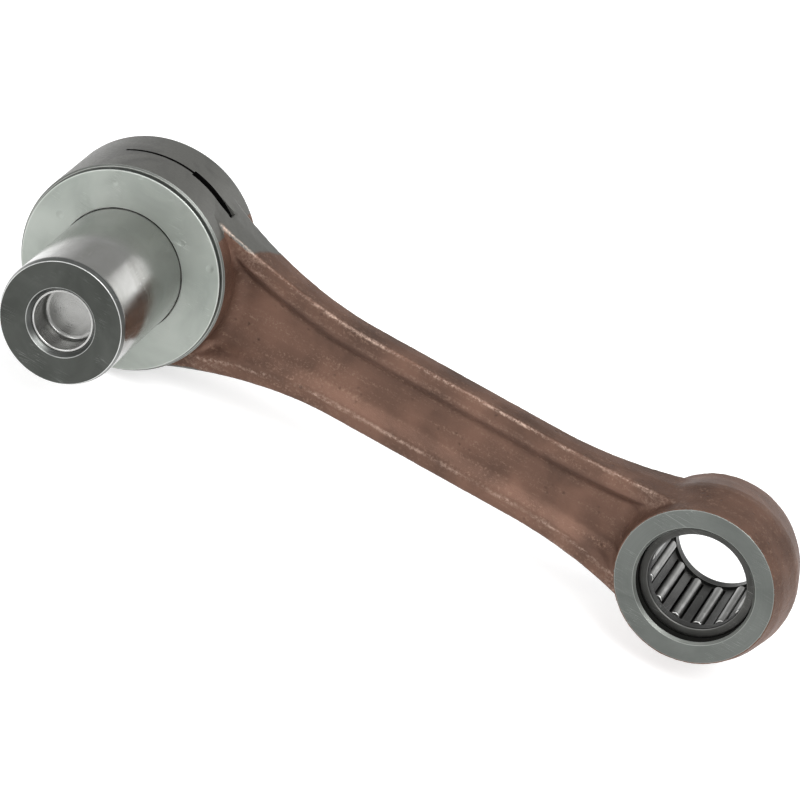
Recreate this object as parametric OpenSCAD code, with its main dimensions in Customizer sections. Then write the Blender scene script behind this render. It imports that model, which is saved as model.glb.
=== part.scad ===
// Two-stroke connecting rod with crank pin, thrust washers and roller bearings.
//
// The rod is a drop forging: an I-beam shank between two eyes, copper plated,
// with the eyes ground back to bare steel. A hollow crank pin runs in the big
// eye on a caged roller bearing, between two thrust washers. The small eye
// carries a caged needle bearing, open for a wrist pin.
//
// Origin on the big-end axis at mid thickness, +X towards the small end, both
// bore axes along Y, +Z across the shank. All lengths in millimetres.

/* [Rod shank] */
// Distance between the two bore axes
centre_distance = 120; // [100:1:150]
// Depth of the shank at its waist
shank_depth = 18; // [16:0.2:20]
// Depth of the shank where it runs into the big eye
root_depth_big = 29.4; // [26:0.2:30]
// Depth of the shank where it runs into the small eye
root_depth_small = 22.4; // [20:0.2:24]
// Length of the flare at the big end
flare_big = 30; // [22:1:36]
// Length of the flare at the small end
flare_small = 24; // [16:1:30]
// Thickness over the flanges at the waist
flange_t = 6; // [5:0.2:8]
// Thickness over the flanges at the big eye
flange_root_big = 10; // [8:0.5:13]
// Thickness over the flanges at the small eye
flange_root_small = 11.4; // [8:0.2:13]
// Width of the land on each flange
land_w = 2.7; // [1.8:0.1:3.2]
// Thickness of the web at the floor of the pockets
web_t = 2.2; // [1.6:0.1:3.2]
// Width of the sloping side of a pocket
pocket_side_w = 3.4; // [2:0.2:4]
// Rounding of the flange edges
flange_edge_r = 0.7; // [0.3:0.1:1]
// Draft of the forged sides, in degrees
draft = 4; // [1:1:8]
// Fillet between the web and the eyes
web_fillet = 4; // [2:0.5:6]

/* [Big eye] */
// Outer diameter of the big eye
big_eye_d = 40; // [37.5:0.5:44]
// Width of the big eye across its ground faces
big_eye_w = 18.4; // [17:0.2:20]
// Bore of the big eye
big_bore_d = 31; // [29:0.5:32.5]
// Chamfer on the outer edges of the big eye
big_edge = 0.4; // [0.2:0.1:0.8]
// Chamfer on the bore of the big eye
big_mouth = 0.5; // [0.2:0.1:0.9]
// Width of the sawn oil slit
slit_w = 0.8; // [0.6:0.1:1.6]
// Direction of the middle of the oil slit, in degrees from the shank
slit_angle = 87; // [70:1:110]
// Depth of the slit cutter into the wall, at the middle of the slit
slit_depth = 6; // [5:0.1:7]
// Radius of the slit cutter
slit_cutter_r = 24; // [18:1:40]
// Width of the oil window in the slit
window_w = 2; // [1.6:0.1:4]
// Direction of the middle of the oil window
window_angle = 69; // [60:1:100]
// Depth of the window cutter into the wall
window_depth = 5.2; // [4.8:0.1:6.5]
// Radius of the window cutter
window_cutter_r = 7; // [4:0.5:12]

/* [Small eye] */
// Outer diameter of the ground ring on the small eye
small_eye_d = 30; // [28.5:0.5:34]
// Width of the small eye across its ground faces
small_eye_w = 18.4; // [16:0.2:20]
// Bore of the small eye
small_bore_d = 22; // [21:0.5:23]
// Chamfer on the bore of the small eye
small_mouth = 0.5; // [0.2:0.1:0.9]
// Chamfer round the ground ring
small_edge = 0.4; // [0.2:0.1:0.8]
// Diameter of the small eye at its parting ridge
small_ridge_d = 33.4; // [31.4:0.2:36]
// How far the forged outside of the small eye stands off the bore axis
small_eye_set = 0.5; // [0:0.1:0.8]
// Width of the parting ridge round the small eye
ridge_w = 1.6; // [0.8:0.2:4]

/* [Crank pin] */
// Diameter of the crank pin
pin_d = 24; // [22:0.5:25.5]
// Length of the crank pin
pin_length = 60; // [54:1:64]
// How far the pin stands in front of the mid plane
pin_reach = 40; // [29:0.5:42]
// Diameter of the bore through the pin
pin_bore_d = 11.8; // [9:0.2:13]
// Diameter of the countersunk mouth of the pin bore
pin_mouth_d = 13.2; // [12:0.2:15]
// Depth of the countersunk mouth
pin_mouth_l = 1; // [0.5:0.1:2]
// Length of the lead-in chamfer on the pin
pin_lead_l = 1; // [0.5:0.1:2]
// Height of the lead-in chamfer on the pin
pin_lead_h = 0.4; // [0.2:0.1:0.8]
// Width of the relief groove under each thrust washer
pin_groove_w = 0.65; // [0.6:0.05:0.9]
// Depth of the relief groove under each thrust washer
pin_groove_h = 0.2; // [0.2:0.05:0.4]

/* [Cup plugs] */
// Length of a cup plug
plug_length = 6; // [4:0.5:9]
// Wall of a cup plug
plug_wall = 0.5; // [0.3:0.1:1]
// How far the lip lies behind the end of the pin
plug_recess = 1; // [0.4:0.1:3]

/* [Thrust washers] */
// Outer diameter of a thrust washer
washer_d = 38.8; // [35:0.2:40]
// Thickness of a thrust washer
washer_t = 1; // [0.6:0.1:1.6]

/* [Big-end bearing] */
// Number of big-end rollers
roller_n = 14; // [10:1:15]
// Length of a big-end roller
roller_l = 11.8; // [8:0.2:12]
// Width of the big-end cage
big_cage_w = 15.8; // [14:0.2:16.6]
// Radial depth of the big-end cage
big_cage_t = 2.5; // [1.8:0.1:2.7]

/* [Small-end bearing] */
// Diameter of the wrist pin that the small end takes
wrist_pin_d = 18; // [17:0.5:19]
// Number of needles
needle_n = 14; // [10:1:15]
// Length of a needle
needle_l = 16.8; // [12:0.2:18]
// Width of the small-end cage
small_cage_w = 22.8; // [21:0.2:26]
// How far the cage lies behind the front face of the small eye
small_cage_set = 2.3; // [0:0.1:4]
// How far the cage windows are turned from the shank, in degrees
needle_phase = 8; // [0:1:25]
// How much the bars of the small-end cage are relieved inside
small_bar_relief = 0.5; // [0.2:0.1:0.8]

/* [Clearances] */
// Radial gap between the wrist pin and the rims of the small-end cage
rim_gap = 0.2; // [0.15:0.01:0.3]
// Radial play of a roller between its two races
roller_play = 0.02; // [0.01:0.005:0.04]
// Radial play between a cage and the bore that guides it
cage_play = 0.1; // [0.05:0.01:0.2]
// Play of a roller in its cage window, on each side
window_play = 0.12; // [0.08:0.01:0.2]
// Radial play of a thrust washer on the pin
washer_play = 0.1; // [0.05:0.01:0.15]
// Gap between a thrust washer and the big eye
washer_gap = 0.1; // [0.05:0.01:0.3]

/* [Hidden] */
$fn = 96;
eps = 0.01;

big_r = big_eye_d / 2;
big_bore_r = big_bore_d / 2;
small_r = small_eye_d / 2;
small_bore_r = small_bore_d / 2;
pin_r = pin_d / 2;
small_ridge_r = small_ridge_d / 2;

roller_r = (big_bore_r - pin_r - roller_play) / 2;
roller_pitch_r = (big_bore_r + pin_r) / 2;
big_cage_r = big_bore_r - cage_play;
wrist_r = wrist_pin_d / 2;
needle_r = (small_bore_r - wrist_r - roller_play) / 2;
needle_pitch_r = (small_bore_r + wrist_r) / 2;
small_cage_r = small_bore_r - cage_play;
small_cage_t = small_cage_r - wrist_r - rim_gap;
small_cage_y = -small_eye_w / 2 + small_cage_set;

function pad(i) = str(i < 10 ? "0" : "", i);
function roller_name(i) = str("big_end_roller_", pad(i));
function needle_name(i) = str("small_end_needle_", pad(i));

// Turns a shape made along +Z so that its axis runs along +Y from y
module along_y(x = 0, y = 0) {
    translate([x, y, 0]) rotate([-90, 0, 0]) children();
}

// A straight bore along Y, longer than what it cuts
module bore_y(x, r, w) {
    along_y(x, -w / 2 - 1) cylinder(r = r, h = w + 2);
}

// ---- Shank: one loft, each station a closed I section ----

function smooth(t) = let (u = min(1, max(0, t))) u * u * (3 - 2 * u);

// Where the flares start and end: the roots lie just inside the eyes
root_x_big = 0.8 * big_r;
waist_x_big = root_x_big + flare_big;
root_x_small = centre_distance - 0.8 * small_r;
waist_x_small = root_x_small - flare_small;

// How far x has come along each flare, 0 at the waist and 1 at the root
function along_big(x) = max(0, (waist_x_big - x) / flare_big);
function along_small(x) = max(0, (x - waist_x_small) / flare_small);

// Half depth of the shank at x
function half_depth(x) =
    shank_depth / 2
    + (root_depth_big - shank_depth) / 2 * pow(along_big(x), 1.85)
    + (root_depth_small - shank_depth) / 2 * pow(along_small(x), 2);

// Half thickness over the flanges at x
function half_flange(x) =
    flange_t / 2
    + (flange_root_big - flange_t) / 2 * pow(along_big(x), 2.5)
    + (flange_root_small - flange_t) / 2 * pow(along_small(x), 2);

// Height that a fillet of radius r adds at distance d from a wall
function fillet(r, d) =
    let (k = d + 0.2 * r)
    k >= r ? 0 : k <= 0 ? r : r - sqrt(r * r - (r - k) * (r - k));

// Half thickness of the web at (x, z), with its fillets to both eyes
function half_web(x, z) =
    web_t / 2
    + fillet(web_fillet, norm([x, z]) - big_r)
    + fillet(web_fillet, norm([centre_distance - x, z]) - small_ridge_r);

// One quarter of a section, from the pocket floor out to the parting line
function quarter(x) =
    let (h = half_flange(x), zo = half_depth(x), e = flange_edge_r,
         zl = zo - land_w, zf = zl - pocket_side_w)
    concat(
        [for (t = [0, 0.22, 0.45, 0.7, 0.9])
            let (z = zf + (zl - zf) * t, w = half_web(x, z))
            [min(h, w + max(0, h - web_t / 2) * smooth(t)), z]],
        [[h, zl],
         [h, zo - e * 1.0],
         [h - e * 0.29, zo - e * 0.29],
         [h - e, zo + e * tan(draft)]]
    );

// A closed ring of points in the plane x
function ring(x) =
    let (q = quarter(x), n = len(q), zr = half_depth(x) + half_flange(x) * tan(draft))
    concat(
        [for (i = [0:n - 1]) [x, q[i][0], q[i][1]]], [[x, 0, zr]],
        [for (i = [n - 1:-1:0]) [x, -q[i][0], q[i][1]]],
        [for (i = [0:n - 1]) [x, -q[i][0], -q[i][1]]], [[x, 0, -zr]],
        [for (i = [n - 1:-1:0]) [x, q[i][0], -q[i][1]]]
    );

// Stations close together at the eyes and further apart along the shank
first_x = big_r + 7.3;
last_x = centre_distance - small_ridge_r - 7.3;
stations = concat(
    [big_r / 2, 0.66 * big_r], [for (i = [0:8]) 0.82 * big_r + (first_x - 0.82 * big_r) * i / 9],
    [for (i = [0:12]) first_x + (last_x - first_x) * i / 13],
    [for (i = [0:9]) last_x + (root_x_small + 0.6 - last_x) * i / 9],
    [centre_distance - 0.6 * small_r, centre_distance - 0.48 * small_r]
);

// The I shaped end of the loft in convex strips, for a quarter of k points
function cap(k) = concat(
    [for (i = [0:k - 2]) [i, i + 1, 2 * k - 1 - i, 2 * k - i]],
    [for (i = [0:k - 2]) [2 * k + 1 + i, 2 * k + 2 + i, 4 * k - i, 4 * k + 1 - i]],
    [[k - 1, k, k + 1], [3 * k, 3 * k + 1, 3 * k + 2], [4 * k + 1, 0, 2 * k, 2 * k + 1]]
);

module shank() {
    rings = [for (x = stations) ring(x)];
    n = len(rings[0]);
    m = len(stations);
    ends = cap(len(quarter(centre_distance / 2)));
    polyhedron(
        points = [for (r = rings) each r],
        faces = concat(
            ends,
            [for (f = ends) [for (j = [len(f) - 1:-1:0]) (m - 1) * n + f[j]]],
            [for (i = [0:m - 2], j = [0:n - 1])
                [i * n + j, (i + 1) * n + j, (i + 1) * n + (j + 1) % n]],
            [for (i = [0:m - 2], j = [0:n - 1])
                [i * n + j, (i + 1) * n + (j + 1) % n, i * n + (j + 1) % n]]
        )
    );
}

// A solid disc of radius r and width w with chamfered edges, axis along Y
module eye(x, r, w, c) {
    along_y(x, 0) rotate_extrude()
        polygon([[0, -w / 2], [r - c, -w / 2], [r, -w / 2 + c],
                 [r, w / 2 - c], [r - c, w / 2], [0, w / 2]]);
}

// The forged small eye: ground ring, chamfer, drafted rim, parting ridge
module small_eye() {
    w = small_eye_w / 2;
    c = small_edge;
    k = ridge_w / 2;
    eye(centre_distance, small_r, small_eye_w, c);
    along_y(centre_distance + small_eye_set, 0) rotate_extrude()
        polygon([[0, -w + c * 2], [small_r - small_eye_set, -w + c * 2], [small_ridge_r, -k],
                 [small_ridge_r, k], [small_r - small_eye_set, w - c * 2], [0, w - c * 2]]);
}

// Chamfered bore along Y
module mouth_bore(x, r, w, c) {
    bore_y(x, r, w);
    for (s = [-1, 1])
        along_y(x, s * (w / 2 - c / 2)) rotate_extrude()
            polygon([[0, -c / 2 - eps], [r + (s < 0 ? c : 0), -c / 2 - (s < 0 ? eps : 0)],
                     [r + (s > 0 ? c : 0), c / 2 + (s > 0 ? eps : 0)], [0, c / 2 + eps]]);
}

// A wheel cutter brought in at an angle round the big eye
module cutter(angle, depth, radius, w, flank) {
    d = big_r - depth + radius;
    translate([d * cos(angle), 0, d * sin(angle)]) along_y() rotate_extrude()
        polygon([[0, -w / 2], [radius - flank, -w / 2], [radius, -w / 2 + flank * 0.3],
                 [radius, w / 2 - flank * 0.3], [radius - flank, w / 2], [0, w / 2]]);
}

// Forged and ground connecting rod
module rod() {
    color("rosybrown") difference() {
        union() {
            shank();
            eye(0, big_r, big_eye_w, big_edge);
            small_eye();
        }
        mouth_bore(0, big_bore_r, big_eye_w, big_mouth);
        mouth_bore(centre_distance, small_bore_r, small_eye_w, small_mouth);
        cutter(slit_angle, slit_depth, slit_cutter_r, slit_w, 0);
        cutter(window_angle, window_depth, window_cutter_r, window_w, 1.2);
    }
}

// Hollow ground crank pin, with a shallow relief groove under each washer
module crank_pin() {
    l = pin_length;
    a = pin_bore_d / 2;
    m = pin_mouth_d / 2;
    g = pin_r - pin_groove_h;
    out = big_eye_w / 2 + washer_gap + washer_t + 0.05;
    in = out - pin_groove_w;
    color("silver") along_y(0, -pin_reach) rotate_extrude()
        polygon([[m, 0], [pin_r - pin_lead_h, 0], [pin_r, pin_lead_l],
                 [pin_r, pin_reach - out], [g, pin_reach - out], [g, pin_reach - in],
                 [pin_r, pin_reach - in], [pin_r, pin_reach + in],
                 [g, pin_reach + in], [g, pin_reach + out], [pin_r, pin_reach + out],
                 [pin_r, l - pin_lead_l], [pin_r - pin_lead_h, l], [m, l],
                 [a, l - pin_mouth_l], [a, pin_mouth_l]]);
}

// Pressed cup plug, floor inward, made with its lip at y = 0 and its floor at +Y
module cup_plug() {
    r = pin_bore_d / 2;
    t = plug_wall;
    b = min(t * 1.2, plug_length / 4);
    color("gainsboro") rotate_extrude()
        polygon([[0, plug_length], [r - b, plug_length], [r, plug_length - b], [r, 0.3],
                 [r - 0.3, 0], [r - t, 0], [r - t, plug_length - t - b / 2],
                 [r - t - b / 2, plug_length - t], [0, plug_length - t]]);
}

module pin_plug_front() {
    along_y(0, -pin_reach + plug_recess) cup_plug();
}

module pin_plug_rear() {
    translate([0, pin_length - pin_reach - plug_recess, 0]) rotate([90, 0, 0]) cup_plug();
}

// Flat thrust washer, its back at y = 0 and its face at +Y
module thrust_washer() {
    r = washer_d / 2;
    a = pin_r + washer_play;
    c = 0.15;
    color("silver") rotate_extrude()
        polygon([[a + c, 0], [r - c, 0], [r, c], [r, washer_t - c], [r - c, washer_t],
                 [a + c, washer_t], [a, washer_t - c], [a, c]]);
}

module thrust_washer_front() {
    translate([0, -big_eye_w / 2 - washer_gap, 0]) rotate([90, 0, 0]) thrust_washer();
}

module thrust_washer_rear() {
    along_y(0, big_eye_w / 2 + washer_gap) thrust_washer();
}

// Cage ring along Y from y = 0, with n windows for rollers of radius rr and
// length rl. The bars between the windows are relieved inside by the height b.
module cage(r, t, w, n, rr, rl, pitch, b) {
    c = 0.3;
    ww = 2 * (rr + window_play);
    rim = (w - rl) / 2 - window_play;
    a = r - t;
    difference() {
        rotate_extrude()
            polygon([[a + c, 0], [r - c, 0], [r, c], [r, w - c], [r - c, w], [a + c, w],
                     [a, w - c], [a, w - rim * 0.75], [a + b, w - rim * 0.75 - b],
                     [a + b, rim * 0.75 + b], [a, rim * 0.75], [a, c]]);
        for (i = [0:n - 1]) rotate([0, 0, 360 * i / n])
            translate([pitch - t * 1.5, -ww / 2, rim])
                cube([t * 3, ww, rl + 2 * window_play]);
    }
}

// One roller along Y from y = 0, with rounded-off ends
module roller(r, l, c) {
    rotate_extrude()
        polygon([[0, 0], [r - c, 0], [r, c], [r, l - c], [r - c, l], [0, l]]);
}

module big_end_cage() {
    color("dimgray") along_y(0, -big_cage_w / 2)
        cage(big_cage_r, big_cage_t, big_cage_w, roller_n, roller_r, roller_l,
             roller_pitch_r, 0.3);
}

module big_end_roller(i) {
    color("lightgray") rotate([0, -360 * (i - 1) / roller_n, 0])
        along_y(roller_pitch_r, -roller_l / 2) roller(roller_r, roller_l, 0.2);
}

module small_end_cage() {
    color("dimgray") translate([centre_distance, small_cage_y, 0])
        rotate([0, -needle_phase, 0]) along_y()
        cage(small_cage_r, small_cage_t, small_cage_w, needle_n, needle_r, needle_l,
             needle_pitch_r, small_bar_relief);
}

module small_end_needle(i) {
    color("lightgray") translate([centre_distance, 0, 0])
        rotate([0, -needle_phase - 360 * (i - 1) / needle_n, 0])
        along_y(needle_pitch_r, small_cage_y + (small_cage_w - needle_l) / 2)
        roller(needle_r, needle_l, 0.15);
}

rod();
crank_pin();
pin_plug_front();
pin_plug_rear();
thrust_washer_front();
thrust_washer_rear();
big_end_cage();
small_end_cage();
for (i = [1:roller_n])
    big_end_roller(i);
for (i = [1:needle_n])
    small_end_needle(i);
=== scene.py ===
import logging
import math
from collections.abc import Callable
from dataclasses import dataclass
from enum import Enum

import bpy
import numpy as np
from mathutils import Matrix, Vector


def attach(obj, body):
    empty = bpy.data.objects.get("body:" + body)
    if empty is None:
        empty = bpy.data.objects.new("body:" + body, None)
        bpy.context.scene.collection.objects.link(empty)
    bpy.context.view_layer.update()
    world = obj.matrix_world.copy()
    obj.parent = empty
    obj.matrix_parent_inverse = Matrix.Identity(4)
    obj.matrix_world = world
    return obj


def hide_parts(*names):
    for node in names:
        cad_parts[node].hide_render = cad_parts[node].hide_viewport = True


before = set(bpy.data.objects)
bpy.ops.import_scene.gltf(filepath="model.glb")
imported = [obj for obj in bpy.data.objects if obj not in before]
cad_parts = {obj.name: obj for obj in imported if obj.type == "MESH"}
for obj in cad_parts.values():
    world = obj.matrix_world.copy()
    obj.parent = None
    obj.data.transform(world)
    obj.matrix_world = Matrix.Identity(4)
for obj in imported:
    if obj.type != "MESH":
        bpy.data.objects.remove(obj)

LOG = logging.getLogger("connecting_rod")
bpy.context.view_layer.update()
MM = 0.001

Array = np.ndarray
Piece = bpy.types.Object
Rgb = tuple[float, float, float]
Spot = tuple[float, float, float]
Outline = list[tuple[float, float]]
Profile = list[tuple[float, float, float]]
Field = Callable[[Array, Array, Array], Array]


class Side(Enum):
    """The two sides of the rod along its bore axes."""

    FRONT = -1
    REAR = 1


class Mark(Enum):
    """What the working of a metal surface leaves on it."""

    GROUND = "ground"
    PLAIN = "plain"


# ---- Shapes ----------------------------------------------------------------

BISECTIONS = 5          # steps to find where a grid edge crosses the surface
CORNER_PULL = 0.06      # keeps the point of a flat cell near the middle of its hits
CELL_OVERHANG = 0.1     # how far a point may leave its cell
SUPPORT = 1.25          # place of the support point beside a rounded corner
HALF_EDGE = 0.49        # most of an edge that one rounded corner may take
CRISP_RADIUS = 0.45     # an outer corner below this radius in mm starts to shine
CRISP_FADE = 0.2        # and shines fully when it is this much smaller


def ease(value: Array) -> Array:
    """Clamps to 0..1 and eases both ends."""
    u = np.clip(value, 0.0, 1.0)
    return u * u * (3.0 - 2.0 * u)


def join_round(a: Array, b: Array, radius: float) -> Array:
    """Unites two fields with a fillet.

    Args:
        a: First field, negative inside.
        b: Second field, negative inside.
        radius: Fillet radius in millimetres.

    Returns:
        The field of the union.
    """
    u, v = np.maximum(radius - a, 0.0), np.maximum(radius - b, 0.0)
    return np.maximum(radius, np.minimum(a, b)) - np.hypot(u, v)


def meet_round(a: Array, b: Array, radius: float) -> Array:
    """Intersects two fields and rounds the edge where they meet.

    Args:
        a: First field, negative inside.
        b: Second field, negative inside.
        radius: Rounding radius in millimetres.

    Returns:
        The field of the intersection.
    """
    return -join_round(-a, -b, radius)


def lumps(x: Array, y: Array, z: Array) -> Array:
    """The uneven skin of a hot forging.

    Args:
        x: Places along X in millimetres.
        y: Places along Y.
        z: Places along Z.

    Returns:
        The height of the skin, between about -1 and 1.
    """
    a = np.sin(0.83 * x + 1.7 * np.sin(0.41 * z + 0.6) + 0.9 * y)
    b = np.sin(1.27 * z + 1.3 * np.sin(0.53 * x) - 0.7 * y + 1.1)
    c = np.sin(2.9 * x + 1.9 * z + 2.3 * y + 2.0 * np.sin(0.77 * x - 1.1 * z))
    return 0.45 * a * b + 0.35 * c * b + 0.2 * np.sin(4.3 * x - 3.7 * z + 3.1 * y)


def contour(shape: Field, low: Vector, high: Vector, cell: float) -> tuple[Array, Array]:
    """Meshes the zero surface of a field with crisp edges, by dual contouring.

    Args:
        shape: Function of x, y and z arrays, negative inside.
        low: Lowest corner of the grid.
        high: Highest corner of the grid.
        cell: Edge of a grid cell.

    Returns:
        The points and the four-sided faces.
    """
    axes = [np.arange(low[i], high[i] + cell, cell) for i in range(3)]
    grid = shape(*np.meshgrid(*axes, indexing="ij"))
    inside = grid < 0
    size = [len(a) - 1 for a in axes]
    owners, hits, normals, quads = [], [], [], []
    for axis in range(3):
        first = [slice(None)] * 3
        second = [slice(None)] * 3
        first[axis], second[axis] = slice(None, -1), slice(1, None)
        crossing = inside[tuple(first)] != inside[tuple(second)]
        index = np.argwhere(crossing)
        start = np.stack([axes[i][index[:, i]] for i in range(3)], 1)
        step = np.zeros(3)
        step[axis] = cell
        f_lo = grid[tuple(first)][crossing]
        f_hi = grid[tuple(second)][crossing]
        t_lo, t_hi = np.zeros(len(index)), np.ones(len(index))
        starts_in = f_lo < 0
        for _ in range(BISECTIONS):
            t = t_lo + (t_hi - t_lo) * np.clip(f_lo / (f_lo - f_hi), 0.05, 0.95)
            value = shape(*(start + t[:, None] * step).T)
            same = (value < 0) == starts_in
            t_lo, f_lo = np.where(same, t, t_lo), np.where(same, value, f_lo)
            t_hi, f_hi = np.where(same, t_hi, t), np.where(same, f_hi, value)
        t = t_lo + (t_hi - t_lo) * np.clip(f_lo / (f_lo - f_hi), 0.0, 1.0)
        point = start + t[:, None] * step
        slope = np.stack([
            shape(*(point + d).T) - shape(*(point - d).T) for d in np.eye(3) * 0.01
        ], 1)
        slope /= np.maximum(np.linalg.norm(slope, axis=1, keepdims=True), 1e-9)
        b, c = (axis + 1) % 3, (axis + 2) % 3
        corners = []
        for db, dc in ((-1, -1), (0, -1), (0, 0), (-1, 0)):
            at = index.copy()
            at[:, b] += db
            at[:, c] += dc
            corners.append((at[:, 0] * size[1] + at[:, 1]) * size[2] + at[:, 2])
        corners = np.stack(corners, 1)
        quads.append(np.where(starts_in[:, None], corners, corners[:, ::-1]))
        for column in corners.T:
            owners.append(column)
            hits.append(point)
            normals.append(slope)
    owner, where = np.unique(np.concatenate(owners), return_inverse=True)
    hit, normal = np.concatenate(hits), np.concatenate(normals)

    def total(values: Array) -> Array:
        """Adds up the values of each cell's hits."""
        return np.bincount(where, values, len(owner))

    count = total(np.ones(len(hit)))
    middle = np.stack([total(hit[:, i]) / count for i in range(3)], 1)
    away = np.einsum("ij,ij->i", normal, hit - middle[where])
    a = np.stack([[total(normal[:, i] * normal[:, j]) for j in range(3)] for i in range(3)])
    a = a.transpose(2, 0, 1) + CORNER_PULL * np.eye(3)
    rhs = np.stack([total(normal[:, i] * away) for i in range(3)], 1)
    shift = np.linalg.solve(a, rhs[:, :, None])[:, :, 0]
    base = np.stack(np.unravel_index(owner, size), 1)
    floor = np.stack([axes[i][base[:, i]] for i in range(3)], 1)
    points = np.clip(middle + shift, floor - CELL_OVERHANG * cell,
                     floor + (1 + CELL_OVERHANG) * cell)
    return points, np.searchsorted(owner, np.concatenate(quads))


def relax(points: Array, faces: Array, shape: Field, free: Array,
          rounds: int = 3, pull: float = 0.6) -> Array:
    """Evens out the points of a meshed field and puts them back on its surface.

    Args:
        points: Points of the mesh.
        faces: Its four-sided faces.
        shape: The field that was meshed.
        free: True for each point that may move.
        rounds: How often to repeat.
        pull: Share of the way towards the middle of the neighbours.

    Returns:
        The moved points.
    """
    a = faces.ravel()
    b = np.roll(faces, -1, axis=1).ravel()
    count = np.bincount(a, minlength=len(points)) + np.bincount(b, minlength=len(points))
    made = points.copy()
    for _ in range(rounds):
        mean = np.stack([(np.bincount(a, made[b, i], len(made))
                          + np.bincount(b, made[a, i], len(made))) / count for i in range(3)], 1)
        made[free] = (1 - pull) * made[free] + pull * mean[free]
        spot = made[free]
        for _ in range(2):
            value = shape(*spot.T)
            slope = np.stack([shape(*(spot + d).T) - shape(*(spot - d).T)
                              for d in np.eye(3) * 0.02], 1) / 0.04
            length = np.maximum((slope ** 2).sum(1), 0.2)
            spot = spot - np.clip(value / length, -0.1, 0.1)[:, None] * slope
        made[free] = spot
    return made


def soften(profile: Profile, steps: int = 5) -> Outline:
    """Rounds the corners of a closed profile.

    Args:
        profile: Corners as radius, height and rounding radius.
        steps: Points on each rounded corner.

    Returns:
        The points of the rounded outline.
    """
    out: Outline = []
    n = len(profile)
    for i, (r, h, rad) in enumerate(profile):
        here = Vector((r, h))
        if rad <= 0:
            out.append((r, h))
            continue
        before = Vector(profile[i - 1][:2]) - here
        after = Vector(profile[(i + 1) % n][:2]) - here
        reach = min(rad, HALF_EDGE * before.length, HALF_EDGE * after.length)
        p, q = here + before.normalized() * reach, here + after.normalized() * reach
        if reach * SUPPORT < HALF_EDGE * before.length:
            out.append(tuple(here + before.normalized() * reach * SUPPORT))
        for k in range(steps + 1):
            t = k / steps
            spot = p * (1 - t) ** 2 + here * 2 * t * (1 - t) + q * t * t
            out.append((spot.x, spot.y))
        if reach * SUPPORT < HALF_EDGE * after.length:
            out.append(tuple(here + after.normalized() * reach * SUPPORT))
    return out


def place(name: str, data: bpy.types.ID) -> Piece:
    """Makes an object of some data and links it to the scene.

    Args:
        name: Name of the object.
        data: Its mesh, camera or lamp.

    Returns:
        The new object.
    """
    made = bpy.data.objects.new(name, data)
    bpy.context.scene.collection.objects.link(made)
    return made


def publish(name: str, points: Array, faces: list[list[int]],
            sharp: float = 32.0) -> Piece:
    """Makes a smooth-shaded object from points in millimetres.

    Args:
        name: Name of the piece.
        points: Points in millimetres.
        faces: Corner indices of each face.
        sharp: Angle in degrees above which an edge stays crisp.

    Returns:
        The new object, linked to the scene.
    """
    mesh = bpy.data.meshes.new(name)
    mesh.from_pydata((np.asarray(points) * MM).tolist(), [], faces)
    mesh.validate()
    mesh.shade_smooth()
    mesh.set_sharp_from_angle(angle=math.radians(sharp))
    return place(name, mesh)


def turn(name: str, outline: Outline, segments: int = 160,
         sharp: float = 32.0) -> Piece:
    """Turns a closed outline round the Y axis.

    Args:
        name: Name of the piece.
        outline: Points as radius and height along +Y, in millimetres.
        segments: Steps round the axis.
        sharp: Angle in degrees above which an edge stays crisp.

    Returns:
        The turned object, its axis through the origin.
    """
    points: list[tuple[float, float, float]] = []
    rows: list[list[int]] = []
    for r, h in outline:
        if r < 1e-6:
            rows.append([len(points)] * segments)
            points.append((0.0, h, 0.0))
            continue
        rows.append(list(range(len(points), len(points) + segments)))
        for k in range(segments):
            a = 2 * math.pi * k / segments
            points.append((r * math.cos(a), h, r * math.sin(a)))
    faces: list[list[int]] = []
    for i, row in enumerate(rows):
        after = rows[(i + 1) % len(rows)]
        if row[0] == row[1] and after[0] == after[1]:
            continue
        for k in range(segments):
            m = (k + 1) % segments
            ring = [row[k], after[k], after[m], row[m]]
            faces.append(list(dict.fromkeys(ring)))
    area = sum(a[0] * b[1] - b[0] * a[1] for a, b in zip(outline, outline[1:] + outline[:1]))
    if area < 0:
        faces = [f[::-1] for f in faces]
    made = publish(name, np.array(points), faces, sharp)
    tight = crispness(outline, math.copysign(1.0, area))
    mark_points(made, "edge", np.concatenate([np.full(len(set(row)), v)
                                              for row, v in zip(rows, tight)]))
    return made


def crispness(outline: Outline, way: float) -> list[float]:
    """Finds the points of an outline that lie on a small outer corner.

    Args:
        outline: Points as radius and height.
        way: 1 when the outline runs anticlockwise, otherwise -1.

    Returns:
        A number for each point, 1 on a crisp outer corner and 0 elsewhere.
    """
    found = []
    for i, here in enumerate(outline):
        a = Vector(here) - Vector(outline[i - 1])
        b = Vector(outline[(i + 1) % len(outline)]) - Vector(here)
        bend = math.atan2(a.x * b.y - a.y * b.x, a.dot(b)) * way
        bow = (a.length + b.length) / 2 / max(bend, 1e-4)
        shine = min(max((CRISP_RADIUS - bow) / CRISP_FADE, 0.0), 1.0)
        found.append(shine if here[0] > 1e-6 else 0.0)
    return found


def around_axis(piece: Piece) -> tuple[Array, Array]:
    """Tells where the faces of a turned piece lie.

    Args:
        piece: The piece, its axis along Y.

    Returns:
        Radius and height of the middle of each face, in millimetres.
    """
    x, y, z = np.array([[*face.center] for face in piece.data.polygons]).T / MM
    return np.hypot(x, z), y


def sort_faces(piece: Piece, index: Array) -> None:
    """Puts each face of a piece into the material slot that index gives."""
    piece.data.polygons.foreach_set("material_index", index.astype(np.int32))


def mark_points(piece: Piece, name: str, values: Array) -> None:
    """Keeps a number for each point of a piece, for its material to read."""
    layer = piece.data.attributes.new(name, "FLOAT", "POINT")
    layer.data.foreach_set("value", values.astype(np.float32))


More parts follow.
